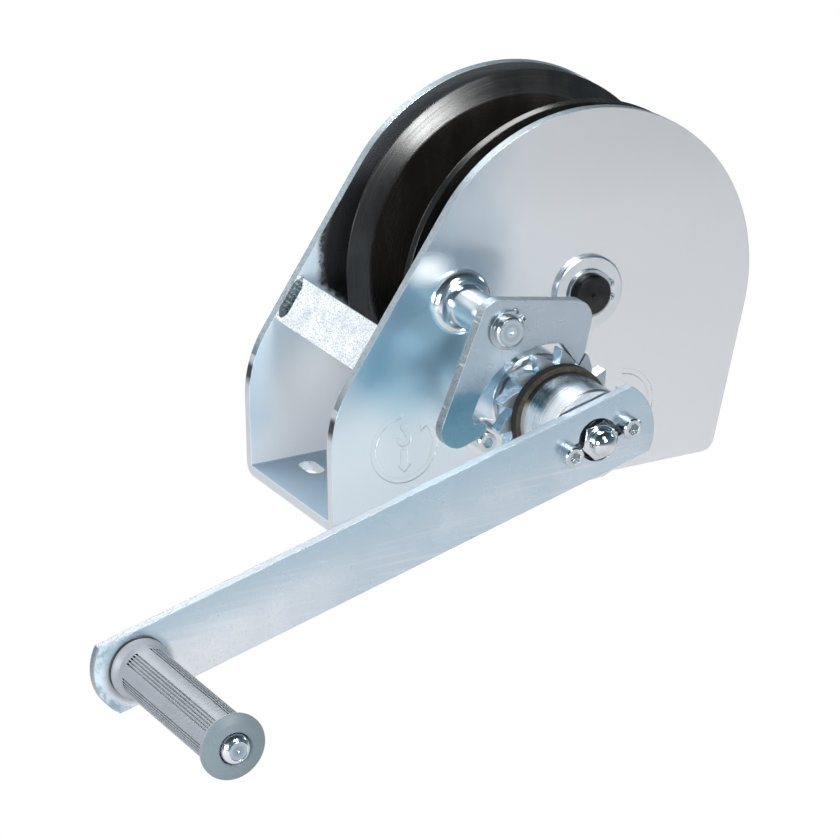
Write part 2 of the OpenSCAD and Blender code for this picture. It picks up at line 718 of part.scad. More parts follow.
// the hub runs on the shaft's thread, and carries the bar on a flat raised seat
module crank_hub() {
    edge = 0.8;
    color("silver") difference() {
        union() {
            turned([[screw_r + run_gap, flange_front + face_gap], [sleeve_r, flange_front + face_gap],
                [sleeve_r, hub_in], [hub_r, hub_in], [hub_r, hub_front - edge],
                [hub_r - edge, hub_front], [screw_r + run_gap, hub_front]], shaft_x, shaft_z);
            at_crank() plate_y(hub_front - 1, bar_in) intersection() {
                circle(hub_r - 2 * edge);
                square([2 * hub_r, bar_w - 5], center = true);
            }
        }
        bar_y(screw_r + run_gap, hub_front - 2, bar_in + 1, shaft_x, shaft_z);
        crank_screw_places() bar_y(m6_r + fit_gap, bar_in - thread_l - 1, bar_in + 1, 0, 0);
    }
}
end_r = 25;
heel_r = 27;
heel_x = 3;
end_x = 3.3;
module crank_arm() {
    notch_l = 12.4;
    notch_w = 6;
    color("lightsteelblue") at_crank() difference() {
        plate_y(bar_in, bar_front) difference() {
            intersection() {
                translate([-crank_r - end_r, -bar_w / 2]) square([crank_r + end_r + heel_r + heel_x, bar_w]);
                union() {
                    translate([-crank_r + end_x, 0]) circle(end_r);
                    translate([heel_x, 0]) circle(heel_r);
                    translate([-crank_r + end_x, -bar_w]) square([crank_r, 2 * bar_w]);
                }
            }
            circle(opening_r);
            square([2 * notch_l, notch_w], center = true);
        }
        for (s = [-1, 1]) bar_y(m6_r + fit_gap, bar_in - 1, bar_front + 1, s * crank_screw_x, 0);
        bar_y(grip_pin_r + 0.02, bar_in - 1, bar_front + 1, -crank_r, 0);
    }
}
module crank_screws() {
    color("silver") crank_screw_places() cap_screw(bar_front, crank_screw_l);
}
nut_washer_r = 9.8;
module nut_washer() {
    color("silver") ring_y(stud_r + fit_gap, nut_washer_r, bar_in + face_gap, nut_in, shaft_x, shaft_z);
}
nut_flats = 17;
nut_corner_r = 9.8;
nut_face_r = 8;
nut_hex_h = 6.7;
nut_dome_r = 6.3;
nut_dome_h = 5.3;
module dome_nut() {
    bore_top = nut_in + stud_l + 1;
    face = nut_in + nut_hex_h;
    color("gainsboro") difference() {
        union() {
            intersection() {
                plate_y(nut_in, nut_in + nut_hex_h, shaft_x, shaft_z) rotate(crank_a)
                    circle(d = nut_flats / cos(30), $fn = 6);
                turned([[0, nut_in], [nut_corner_r - 0.7, nut_in], [nut_corner_r, nut_in + 0.6],
                    [nut_corner_r, face - 1.1], [nut_face_r, face], [0, face]], shaft_x, shaft_z);
            }
            turned(concat([[0, face - 1], [nut_face_r - 0.3, face - 1], [nut_face_r - 0.3, face],
                [nut_dome_r + 0.2, face + 0.5]],
                [for (a = [0:5:90]) [nut_dome_r * cos(a), face + 2 + nut_dome_h * sin(a)]]),
                shaft_x, shaft_z);
        }
        bar_y(stud_r + fit_gap, nut_in - 1, bore_top, shaft_x, shaft_z);
    }
}

// grip
module at_grip() {
    at_crank() translate([-crank_r, 0, 0]) children();
}
pin_head_r = grip_pin_r + 1.5;
recess_r = pin_head_r + 0.45;
recess_d = 3.6;
module grip_pin() {
    head = grip_out - recess_d + 0.4;
    rivet_foot_r = 8.5;
    rivet_foot_h = 1.5;
    dome_foot = grip_out - 1;
    dome_h = 5;
    dome_end = 51;
    end_r = pin_head_r * cos(dome_end);
    end_y = dome_foot + dome_h * sin(dome_end);
    color("silver") at_grip() turned(concat([[0, bar_in - rivet_foot_h],
        [rivet_foot_r - 1, bar_in - rivet_foot_h], [rivet_foot_r, bar_in], [grip_pin_r, bar_in],
        [grip_pin_r, head], [pin_head_r, head]],
        [for (a = [0:3:dome_end]) [pin_head_r * cos(a), dome_foot + dome_h * sin(a)]],
        [[end_r - 0.3, end_y - 0.2], [0.5, end_y - 0.2], [0, end_y - 0.7]]), 0, 0);
}
grip_washer_r = 14.7;
module grip_washer() {
    color("dimgray") at_grip() ring_y(grip_pin_r + 0.1, grip_washer_r, bar_front, grip_in - 0.3, 0, 0);
}
module grip_sleeve() {
    collar = 3;
    collar_r_out = grip_r + 2.1;
    // the outer face is a shallow cone that rises from the rim to the hole
    face_rise = 2.6;
    rim = 1.2;
    lip = 0.6;
    rim_front = grip_out - face_rise;
    neck = grip_flange_r - grip_r;
    neck_back = rim_front - rim - neck;
    face_r = (grip_flange_r + recess_r) / 2;
    groove_turn = 6;
    spread = 6.6;
    groove_w = 0.8;
    groove_start = grip_in + collar + 5;
    groove_end = neck_back - 0.5;
    color("darkgray") at_grip() difference() {
        turned(concat([[grip_pin_r + run_gap, grip_in], [collar_r_out - 0.4, grip_in],
            [collar_r_out, grip_in + 0.6], [collar_r_out, grip_in + collar - 1],
            [grip_r, grip_in + collar + 1.2], [grip_r, neck_back]],
            [for (a = [9:9:90]) [grip_r + neck * (1 - cos(a)), neck_back + neck * sin(a)]],
            [[grip_flange_r, rim_front - 0.4], [grip_flange_r - 0.4, rim_front],
            [face_r, rim_front + 0.6 * face_rise], [recess_r + lip, grip_out], [recess_r, grip_out - lip],
            [recess_r, grip_out - recess_d], [grip_pin_r + run_gap, grip_out - recess_d]]), 0, 0);
        for (g = [0:groove_groups - 1], i = [0:groove_count - 1])
            rotate([0, groove_turn - g * 360 / groove_groups - (i - (groove_count - 1) / 2) * spread, 0])
                translate([grip_r - groove_d, -half_w - groove_end, -groove_w / 2])
                    cube([3, groove_end - groove_start, groove_w]);
    }
}

frame();
tie_plate();
drum_axle();
axle_washers();
axle_circlips();
drum_barrel();
drum_hub_tube();
near_flange();
far_flange();
drum_bushes();
drum_gear();
gear_rivets();
rope_clamp();
rope_clamp_screws();
bearing_housing();
housing_screws();
shaft_bush();
drive_shaft();
brake_flange();
brake_flange_key();
ratchet_wheel();
ratchet_bush();
rear_friction_disc();
front_friction_disc();
pawl_post();
pawl();
pawl_circlip();
crank_hub();
crank_arm();
crank_screws();
nut_washer();
dome_nut();
grip_pin();
grip_washer();
grip_sleeve();
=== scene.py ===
import json
import math
import random

import bmesh
import bpy
from mathutils import Matrix, Vector


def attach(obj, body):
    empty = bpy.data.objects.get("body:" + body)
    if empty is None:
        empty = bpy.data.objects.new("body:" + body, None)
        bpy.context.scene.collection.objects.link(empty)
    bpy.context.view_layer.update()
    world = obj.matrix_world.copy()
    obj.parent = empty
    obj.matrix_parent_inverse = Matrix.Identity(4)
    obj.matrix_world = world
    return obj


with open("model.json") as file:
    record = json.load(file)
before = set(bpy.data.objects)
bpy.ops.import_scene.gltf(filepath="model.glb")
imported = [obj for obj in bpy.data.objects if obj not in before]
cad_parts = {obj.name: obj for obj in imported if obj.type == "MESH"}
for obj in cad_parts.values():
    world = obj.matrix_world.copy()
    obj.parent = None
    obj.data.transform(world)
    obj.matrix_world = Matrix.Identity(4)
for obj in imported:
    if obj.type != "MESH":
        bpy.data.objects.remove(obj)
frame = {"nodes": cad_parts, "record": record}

random.seed(7)
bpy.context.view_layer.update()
scene = bpy.context.scene
nodes = frame["nodes"]

# places from the model, in metres: (x, z) of the axes that lie across the winch
SHAFT = (0.022675, 0.058367)
AXLE = (0.0653, 0.0977)
PIVOT = (-0.003625, 0.105067)
GRIP = (-0.214085, -0.004630)
CRANK_A = math.radians(14.9)
# planes across the winch: y beyond, or between, which a face lies
OUTER_FACE = -0.045     # the near plate's outer face
INNER_FACES = 0.0423    # the channel's inside, either way
HUB_FRONT = -0.1262
BAR_FRONT = -0.1305
GROOVE_START = -0.1418  # of the grip's grooves
GRIP_FACE = -0.225
GROOVE_R = 0.01235      # the grooves lie within it
BASE_TOP = 0.005
# centres of the painted glare and the painted teal reflection: (x, z) on the side plates
GLARE = (-0.0200, 0.1235)
PAINTED_TEAL_REFLECTION = (-0.031, 0.088)
DULL_X, DULL_X_LOW, DULL_Z = -0.0318, -0.0298, 0.0905
# the plating's grain and relief, and the white of the painted arris highlight
CRYSTALS = 1300
ARRIS = 0.0004
RELIEF = 0.00002
EDGE_RELIEF = 3.0
PAINTED_ARRIS_WHITE = (0.96, 0.97, 0.98)
# room, lights and floor
MIDDLE = (0.02, -0.03, 0.08)
FLOOR_GLOW = 0.255
FLOOR_Z = SHAFT[1] - 0.275  # as low as the crank reaches when it turns


# ---------------------------------------------------------------- camera
def place_camera():
    """The photograph's viewpoint, solved from the frame's outline."""
    az, el, roll = math.radians(-27.4225), math.radians(20.921), math.radians(-0.98424)
    right = Vector((math.cos(az), math.sin(az), 0))
    back = Vector((math.sin(az) * math.cos(el), -math.cos(az) * math.cos(el), math.sin(el)))
    up = back.cross(right)
    right, up = (math.cos(roll) * right + math.sin(roll) * up,
                 math.cos(roll) * up - math.sin(roll) * right)
    picture, focal, dist = 840, 4645.87, 2.26945  # pixels, pixels, metres
    target = Vector((0.0489, -0.00008, 0.0816))
    seen_x, seen_y = 509.985, 300.868  # where the target lies in the picture
    shift_x = (seen_x - picture / 2) / focal * dist
    shift_y = (picture / 2 - seen_y) / focal * dist
    place = target - shift_x * right - shift_y * up + dist * back
    data = bpy.data.cameras.new("camera")
    data.sensor_width = 36
    data.lens = 36 * focal / picture
    data.clip_end = 50
    obj = bpy.data.objects.new("camera", data)
    obj.matrix_world = Matrix((
        (right.x, up.x, back.x, place.x), (right.y, up.y, back.y, place.y),
        (right.z, up.z, back.z, place.z), (0, 0, 0, 1)))
    scene.collection.objects.link(obj)
    scene.camera = obj


place_camera()
scene.view_settings.view_transform = "Standard"


# ---------------------------------------------------------------- materials
class Mat:
    """A node material, with short calls for the nodes that the finishes share."""

    def __init__(self, name):
        self.mat = bpy.data.materials.new(name)
        self.mat.use_nodes = True
        self.tree = self.mat.node_tree
        self.tree.nodes.clear()
        self.out = self.tree.nodes.new("ShaderNodeOutputMaterial")
        self.bsdf = self.tree.nodes.new("ShaderNodeBsdfPrincipled")
        self.tree.links.new(self.bsdf.outputs[0], self.out.inputs[0])
        self.coord = self.tree.nodes.new("ShaderNodeTexCoord")

    def node(self, kind, **props):
        n = self.tree.nodes.new(kind)
        for key, value in props.items():
            setattr(n, key, value)
        return n

    def put(self, socket, value):
        if isinstance(value, bpy.types.NodeSocket):
            self.tree.links.new(value, socket)
        else:
            socket.default_value = value

    def math(self, op, a, b=0.0):
        n = self.node("ShaderNodeMath", operation=op)
        self.put(n.inputs[0], a)
        self.put(n.inputs[1], b)
        return n.outputs[0]

    def add(self, a, b):
        return self.math("ADD", a, b)

    def sub(self, a, b):
        return self.math("SUBTRACT", a, b)

    def mul(self, a, b):
        return self.math("MULTIPLY", a, b)

    def less(self, a, b):
        return self.math("LESS_THAN", a, b)

    def more(self, a, b):
        return self.math("GREATER_THAN", a, b)

    def size(self, a):
        return self.math("ABSOLUTE", a)

    def vmath(self, op, a, b=(0, 0, 0)):
        n = self.node("ShaderNodeVectorMath", operation=op)
        self.put(n.inputs[0], a)
        self.put(n.inputs[1], b)
        return n.outputs["Value"] if op in ("LENGTH", "DOT_PRODUCT") else n.outputs[0]

    def split(self, vector):
        n = self.node("ShaderNodeSeparateXYZ")
        self.put(n.inputs[0], vector)
        return n.outputs

    def join(self, x, y, z):
        n = self.node("ShaderNodeCombineXYZ")
        for i, v in enumerate((x, y, z)):
            self.put(n.inputs[i], v)
        return n.outputs[0]

    def place(self, scale=(1, 1, 1), turn=(0, 0, 0)):
        n = self.node("ShaderNodeMapping")
        self.put(n.inputs["Vector"], self.coord.outputs["Object"])
        n.inputs["Scale"].default_value = scale
        n.inputs["Rotation"].default_value = turn
        return n.outputs[0]

    def noise(self, scale, detail=3.0, rough=0.5, where=None, distort=0.0):
        n = self.node("ShaderNodeTexNoise")
        self.put(n.inputs["Vector"], where if where is not None else self.coord.outputs["Object"])
        n.inputs["Scale"].default_value = scale
        n.inputs["Detail"].default_value = detail
        n.inputs["Roughness"].default_value = rough
        n.inputs["Distortion"].default_value = distort
        return n.outputs[0]

    def cells(self, scale):
        n = self.node("ShaderNodeTexVoronoi")
        self.put(n.inputs["Vector"], self.coord.outputs["Object"])
        n.inputs["Scale"].default_value = scale
        return n.outputs[0]

    def fit(self, value, a, b, c=0.0, d=1.0, smooth=False):
        kind = "SMOOTHSTEP" if smooth else "LINEAR"
        n = self.node("ShaderNodeMapRange", interpolation_type=kind)
        self.put(n.inputs[0], value)
        for i, v in enumerate((a, b, c, d)):
            self.put(n.inputs[i + 1], v)
        return n.outputs[0]

    def mix(self, factor, a, b):
        n = self.node("ShaderNodeMix", data_type="RGBA")
        self.put(n.inputs[0], factor)
        self.put(n.inputs[6], (*a, 1) if isinstance(a, tuple) else a)
        self.put(n.inputs[7], (*b, 1) if isinstance(b, tuple) else b)
        return n.outputs[2]

    def mixf(self, factor, a, b):
        n = self.node("ShaderNodeMix", data_type="FLOAT")
        self.put(n.inputs[0], factor)
        self.put(n.inputs[2], a)
        self.put(n.inputs[3], b)
        return n.outputs[0]

    def soft_edges(self, radius):
        n = self.node("ShaderNodeBevel", samples=6)
        n.inputs["Radius"].default_value = radius
        return n.outputs[0]

    def arris(self, radius):
        """1 on the sharp edges between two faces, 0 elsewhere."""
        geometry = self.node("ShaderNodeNewGeometry")
        level = self.vmath("DOT_PRODUCT", self.soft_edges(radius), geometry.outputs["Normal"])
        return self.fit(level, 0.97, 0.80)

    def bump(self, height, distance, normal=None):
        n = self.node("ShaderNodeBump")
        n.inputs["Distance"].default_value = distance
        n.inputs["Strength"].default_value = 1.0
        self.put(n.inputs["Height"], height)
        if normal is not None:
            self.put(n.inputs["Normal"], normal)
        return n.outputs[0]

    def edge_mask(self, frame_sheet=False):
        """1 on the cut edges of a plate that lies across the shaft, 0 on its faces."""
        nx, ny = self.split(self.coord.outputs["Normal"])[:2]
        side = self.less(self.size(ny), 0.4)
        if not frame_sheet:
            return side
        z = self.split(self.coord.outputs["Object"])[2]
        high = self.more(z, 0.007)
        end = self.more(self.size(nx), 0.7)
        return self.mul(side, self.math("MAXIMUM", high, end))

    def around(self, axis):
        """[radius, place along the axis] and the direction round an axis across the winch."""
        x, y, z = self.split(self.coord.outputs["Object"])
        dx = self.sub(x, axis[0])
        dz = self.sub(z, axis[1])
        radial = self.join(dx, 0.0, dz)
        radius = self.vmath("LENGTH", radial)
        flat = self.join(radius, y, 0.0)
        tangent = self.vmath("CROSS_PRODUCT", (0, 1, 0), radial)
        return flat, self.vmath("NORMALIZE", tangent), radius

    def set(self, **values):
        names = {"color": "Base Color", "rough": "Roughness", "metal": "Metallic",
                 "normal": "Normal", "spec": "Specular IOR Level", "aniso": "Anisotropic",
                 "tangent": "Tangent"}
        for key, value in values.items():
            if key == "color" and isinstance(value, tuple):
                value = (*value, 1)
            self.put(self.bsdf.inputs[names[key]], value)
        return self.mat


def scaled(color, k):
    return tuple(k * c for c in color)


def plating_noise(m):
    """The fine grain and the wider mottle that the plated sheets share."""
    return m.noise(900, 1, 0.5), m.noise(320, 2, 0.55, distort=0.4)


def scuff_noise(m):
    return m.noise(1, 4, 0.6, where=m.place((35, 700, 700), (0, 0.4, 0)))


def edge_streaks(m):
    """Streaks across the cut edge of a sheet, as a punch leaves them."""
    return m.noise(1, 3, 0.6, where=m.place((500, 60, 500)))


def finish_zinc(m, edge, face, face_rough, metal, edge_color, grain, pale=0.0, dark=0.0):
    """The cut edges, a painted highlight along their arrises and the fine relief of a plated
    sheet.
    """
    fine, mottle = plating_noise(m)
    crystal = m.cells(CRYSTALS)
    streaks = edge_streaks(m)
    rim = m.mix(m.fit(crystal, 0.15, 0.75), edge_color, scaled(edge_color, 0.66))
    rim = m.mix(m.fit(streaks, 0.62, 0.75, 0, 0.3), rim, (0.85, 0.87, 0.89))
    # painted light: where pale is given, the edge is painted pale; painted reflection: where dark
    # is given, it is painted near black
    rim = m.mix(pale, rim, (0.84, 0.87, 0.91))
    rim = m.mix(dark, rim, (0.03, 0.03, 0.035))
    # painted highlight: a white, dull line painted along the arrises, in streaks
    painted_arris_highlight = m.mul(m.arris(ARRIS), m.fit(streaks, 0.35, 0.55, 0.25, 0.8))
    color = m.mix(painted_arris_highlight, m.mix(edge, face, rim), PAINTED_ARRIS_WHITE)
    metal = m.mixf(painted_arris_highlight, metal, 0.0)
    roughness = m.mixf(edge, face_rough, m.fit(crystal, 0.1, 0.8, 0.34, 0.5))
    relief = m.add(m.mul(fine, 0.2 * grain), m.mul(mottle, 0.1 * grain))
    height = m.mixf(edge, relief, m.mul(crystal, EDGE_RELIEF))
    normal = m.bump(height, RELIEF, m.soft_edges(0.0005))
    return m.set(color=color, rough=roughness, metal=metal, normal=normal)


def zinc(name, light, dark, rough, edge_color, cloud):
    """Zinc plated steel: cloudy plating over a fine grain, and grainier cut edges."""
    m = Mat(name)
    mottle = plating_noise(m)[1]
    face = m.mix(m.fit(m.noise(cloud, 3, 0.55), 0.36, 0.64, smooth=True), dark, light)
    face = m.mix(m.fit(mottle, 0.35, 0.7, 0, 0.14), face, scaled(light, 0.82))
    face_rough = m.add(rough, m.fit(mottle, 0.3, 0.7, -0.03, 0.05))
    face_rough = m.add(face_rough, m.fit(scuff_noise(m), 0.45, 0.75, -0.01, 0.05))
    return finish_zinc(m, m.edge_mask(), face, face_rough, 0.85, edge_color, grain=1.0)


def outer_plating_and_painted_light(m, x, z, clouds, outside):
    """The outer colour of the bent sheet, with painted shade, a painted reflection and a painted
    glare: [colour, how much it glares].
    """
    side = m.add(x, m.mul(clouds, 0.12))
    # painted shade: the plating is painted bluer to the left, greyer towards the top, and darker
    # blue at the upper left
    face = m.mix(m.fit(side, -0.04, 0.08, smooth=True), (0.80, 0.90, 0.97), (0.90, 0.91, 0.935))
    face = m.mix(m.fit(z, 0.13, 0.17, 0.0, 0.6, smooth=True), face, (0.80, 0.82, 0.85))
    left = m.fit(side, -0.03, 0.035, 1.0, 0.0, smooth=True)
    shade = m.mul(left, m.fit(z, 0.095, 0.13, smooth=True))
    face = m.mix(m.mul(shade, outside), face, (0.50, 0.61, 0.72))
    # painted reflection: a darker teal cloud painted on the plate round the pawl
    dx = m.mul(m.sub(x, PAINTED_TEAL_REFLECTION[0]), 0.9)
    dz = m.sub(z, PAINTED_TEAL_REFLECTION[1])
    cloud = m.add(m.vmath("LENGTH", m.join(dx, 0.0, dz)), m.mul(clouds, 0.04))
    blue = m.fit(cloud, 0.016, 0.046, 0.85, 0.0, smooth=True)
    face = m.mix(m.mul(blue, outside), face, (0.46, 0.73, 0.88))
    # painted highlight: a soft white glare painted on the plate beside the post, where the post
    # is mirrored
    gx = m.mul(m.sub(x, GLARE[0]), 0.7)
    glare = m.vmath("LENGTH", m.join(gx, 0.0, m.sub(z, GLARE[1])))
    glare = m.mul(m.fit(glare, 0.001, 0.012, 0.85, 0.0, smooth=True), outside)
    return m.mix(glare, face, (1.0, 1.0, 1.0)), glare


def inner_plating_and_painted_light(m, x, z, clouds):
    """The channel's inside, mirror-like next to the drum, with painted light and shade: [colour,
    1 where it is dull].
    """
    grit = m.mul(m.sub(m.noise(260, 4, 0.7), 0.5), 0.008)
    below = m.sub(m.sub(DULL_Z, z), m.mul(m.sub(x, DULL_X_LOW), 0.9))
    bound = m.math("MAXIMUM", m.mul(m.sub(x, DULL_X), -1.0), below)
    dull = m.fit(m.add(bound, grit), -0.002, 0.004, smooth=True)
    # painted light and shade: low down the dull part is painted from blue at the left to white at
    # the right, higher up light blue, and darker teal on the base
    drift = m.add(x, m.mul(clouds, 0.05))
    pale = m.mix(m.fit(drift, -0.100, -0.050, smooth=True), (0.36, 0.62, 0.82), (0.97, 0.98, 1.0))
    pale = m.mix(m.fit(z, 0.045, 0.085, smooth=True), pale, (0.70, 0.84, 0.94))
    pale = m.mix(m.less(z, BASE_TOP + 0.0006), pale, (0.40, 0.54, 0.66))
    # painted shade: the mirror-like part next to the drum is painted dark below a height, for the
    # drum that it mirrors
    mirror = m.mix(m.fit(z, 0.135, 0.155, smooth=True), (0.22, 0.24, 0.26), (0.80, 0.88, 0.95))
    return m.mix(dull, mirror, pale), dull


def zinc_frame(name):
    """The bent sheet: blue-white plating with painted light and shade, painted bluer to the left,
    and duller deep in the channel.
    """
    m = Mat(name)
    x, y, z = m.split(m.coord.outputs["Object"])
    clouds = m.sub(m.noise(14, 3, 0.55), 0.5)
    outer, glare = outer_plating_and_painted_light(m, x, z, clouds, m.less(y, OUTER_FACE))
    inner, dull = inner_plating_and_painted_light(m, x, z, clouds)
    inside = m.mul(m.less(m.size(y), INNER_FACES), m.more(z, BASE_TOP - 0.0005))
    face = m.mix(inside, outer, inner)
    outer_rough = m.add(0.26, m.fit(scuff_noise(m), 0.45, 0.75, -0.002, 0.006))
    face_rough = m.mixf(inside, outer_rough, m.mixf(dull, 0.12, 0.42))
    metal = m.mixf(m.math("MAXIMUM", m.mul(inside, dull), glare), 0.9, 0.02)
    nx = m.split(m.coord.outputs["Normal"])[0]
    # painted light: the sheet's left end faces, which look to the left, are painted pale
    left_end = m.less(nx, -0.93)
    # painted reflection: the rounded corner of the edge is painted near black, for the dark of
    # the room that it would mirror
    corner = m.size(m.add(nx, 0.972))
    corner = m.mul(m.fit(corner, 0.010, 0.022, 0.92, 0.0), m.more(z, 0.03))
    return finish_zinc(m, m.edge_mask(True), face, face_rough, metal, (0.38, 0.44, 0.48),
                       grain=0.25, pale=left_end, dark=corner)


def bar_face(m, x, y, z, light, dark, mottle, tip):
    """The front of the crank bar: painted whiter towards the grip as painted light, with a bluer
    band along its top and a painted dark ring round the grip's foot.
    """
    drawn = m.noise(1, 2, 0.5, where=m.place((18, 500, 500), (0, CRANK_A, 0)))
    face = m.mix(m.fit(m.noise(20, 3, 0.55), 0.36, 0.64, smooth=True), dark, light)
    # painted light: the face is painted whiter towards the grip
    face = m.mix(m.fit(x, -0.09, -0.19, 0, 0.8, smooth=True), face, (0.92, 0.93, 0.96))
    face = m.mix(m.fit(mottle, 0.40, 0.7, 0, 0.15), face, scaled(light, 0.80))
    specks = m.fit(m.noise(700, 1, 0.6), 0.56, 0.70, 0, m.fit(x, 0.0, -0.2, 0.03, 0.18))
    face = m.mix(specks, face, (0.42, 0.51, 0.58))
    face = m.mix(m.fit(drawn, 0.52, 0.68, 0, 0.25), face, (0.93, 0.95, 0.97))
    # painted reflection: a dark ring painted where the bar would mirror the grip's foot
    foot = m.around(GRIP)[2]
    shade = m.fit(foot, 0.0150, 0.0185, 0.6, 0.0, smooth=True)
    face = m.mix(m.mul(shade, m.less(y, BAR_FRONT)), face, (0.10, 0.14, 0.15))
    # a bluer, streaky band runs along the upper third
    up = m.sub(m.mul(m.sub(z, SHAFT[1]), math.cos(CRANK_A)),
               m.mul(m.sub(x, SHAFT[0]), math.sin(CRANK_A)))
    up = m.add(up, m.mul(m.sub(drawn, 0.5), 0.016))
    face = m.mix(m.fit(up, -0.006, 0.016, 0.0, 0.8, smooth=True), face, (0.46, 0.60, 0.71))
    # beyond the grip the bar is speckled teal
    patch = m.mix(m.fit(m.noise(260, 3, 0.6), 0.42, 0.62), (0.72, 0.86, 0.95), (0.40, 0.52, 0.60))
    return m.mix(m.mul(tip, m.fit(foot, 0.0160, 0.0195)), face, patch)


def zinc_bar(name, light, dark, edge_near, edge_far, rough):
    """Zinc plated flat bar, with its cut edges painted paler towards the grip as painted light.
    """
    m = Mat(name)
    edge = m.edge_mask()
    mottle = m.noise(60, 2, 0.5)
    x, y, z = m.split(m.coord.outputs["Object"])
    tip = m.mul(m.fit(x, GRIP[0] + 0.002, GRIP[0] - 0.012, smooth=True), m.less(y, BAR_FRONT))
    face = bar_face(m, x, y, z, light, dark, mottle, tip)
    crystal = m.cells(CRYSTALS)
    # painted light: the cut edges are painted paler towards the grip
    rim = m.mix(m.fit(x, -0.19, 0.01), edge_far, edge_near)
    rim = m.mix(m.fit(crystal, 0.5, 0.9, 0, 0.5), rim, (0.30, 0.34, 0.38))
    opening = m.fit(m.around(SHAFT)[2], 0.0098, 0.0112, 0.95, 0.0)
    rim = m.mix(opening, rim, (0.03, 0.03, 0.03))
    face_rough = m.add(rough, m.fit(mottle, 0.3, 0.7, -0.02, 0.05))
    roughness = m.mixf(edge, face_rough, m.fit(crystal, 0.1, 0.8, 0.36, 0.5))
    height = m.mixf(edge, m.mul(m.noise(900, 1, 0.5), 0.10), m.mul(crystal, EDGE_RELIEF))
    normal = m.bump(height, RELIEF, m.soft_edges(0.0004))
    # the sheared edge is dark in places along its arris
    line = m.mul(m.arris(ARRIS), m.fit(m.noise(90, 3, 0.6), 0.35, 0.6, 0.35, 0.9))
    color = m.mix(line, m.mix(edge, face, rim), (0.10, 0.12, 0.13))
    return m.set(color=color, rough=roughness, metal=m.mixf(tip, 0.85, 0.35), normal=normal)


def pawl_plate(name):
    """Plated flat steel, with a darker teal lower arm and grainy cut edges."""
    m = Mat(name)
    edge = m.edge_mask()
    x, y, z = m.split(m.coord.outputs["Object"])
    mottle = m.noise(80, 2, 0.5)
    level = m.add(z, m.mul(m.sub(m.noise(70, 3, 0.5), 0.5), 0.006))
    face = m.mix(m.fit(x, -0.02, 0.02, smooth=True), (0.48, 0.575, 0.655), (0.52, 0.595, 0.665))
    arm = m.fit(level, 0.0755, 0.0795, 1.0, 0.0, smooth=True)
    face = m.mix(arm, face, (0.27, 0.50, 0.61))
    face = m.mix(m.fit(mottle, 0.40, 0.7, 0, 0.12), face, (0.45, 0.55, 0.62))
    crystal = m.cells(CRYSTALS)
    streaks = edge_streaks(m)
    rim = m.mix(m.fit(crystal, 0.15, 0.75), (0.44, 0.49, 0.52), (0.26, 0.30, 0.33))
    rim = m.mix(m.fit(streaks, 0.58, 0.70, 0, 0.7), rim, (0.95, 0.96, 0.97))
    # painted highlight: a white, dull line painted along the arrises, in streaks
    painted_arris_highlight = m.mul(m.arris(ARRIS), m.fit(streaks, 0.35, 0.55, 0.3, 0.85))
    color = m.mix(painted_arris_highlight, m.mix(edge, face, rim), PAINTED_ARRIS_WHITE)
    face_rough = m.add(0.27, m.fit(mottle, 0.3, 0.7, -0.02, 0.04))
    rough = m.mixf(edge, face_rough, m.fit(crystal, 0.1, 0.8, 0.34, 0.5))
    height = m.mixf(edge, m.mul(m.noise(900, 1, 0.5), 0.08), m.mul(crystal, EDGE_RELIEF))
    normal = m.bump(height, RELIEF, m.soft_edges(0.0005))
    return m.set(color=color, rough=rough, metal=m.mixf(painted_arris_highlight, 0.88, 0.0), normal=normal)


def turned_hub(name):
    """Finely turned steel, with a painted reflection: painted dark next to the disc and bright
    towards the bar.
    """
    m = Mat(name)
    flat, tangent, radius = m.around(SHAFT)
    rings = m.noise(2200, 3, 0.6, where=flat)
    x, y, z = m.split(m.coord.outputs["Object"])
    side = m.math("DIVIDE", m.sub(x, SHAFT[0]), radius)
    streaks = m.noise(1, 3, 0.5, where=m.place((400, 25, 400)))
    wander = m.mul(m.sub(streaks, 0.5), 0.003)
    # painted reflection: painted dark next to the disc, which the hub would mirror there
    dark = m.fit(m.add(y, wander), -0.1205, -0.1095, smooth=True)
    dark = m.mul(dark, m.fit(side, -0.93, -0.80, 0.35, 1.0, smooth=True))
    # painted reflection: painted bright and less metallic towards the bar, where the hub would
    # mirror the near plate
    bright = m.mul(m.sub(1.0, dark), m.fit(side, -0.15, -0.55, smooth=True))
    color = m.mix(m.fit(streaks, 0.35, 0.65), (0.80, 0.83, 0.87), (0.88, 0.90, 0.92))
    color = m.mix(m.mul(dark, 0.85), color, (0.12, 0.15, 0.17))
    color = m.mix(m.mul(bright, 0.9), color, (0.97, 0.98, 1.0))
    metal = m.mixf(m.mul(bright, m.more(y, HUB_FRONT)), 1.0, 0.35)
    roughness = m.add(0.24, m.fit(rings, 0.3, 0.7, -0.03, 0.05))
    normal = m.bump(rings, 0.000002, m.soft_edges(0.0004))
    return m.set(color=color, rough=roughness, metal=metal, aniso=0.4, tangent=tangent,
                 normal=normal)


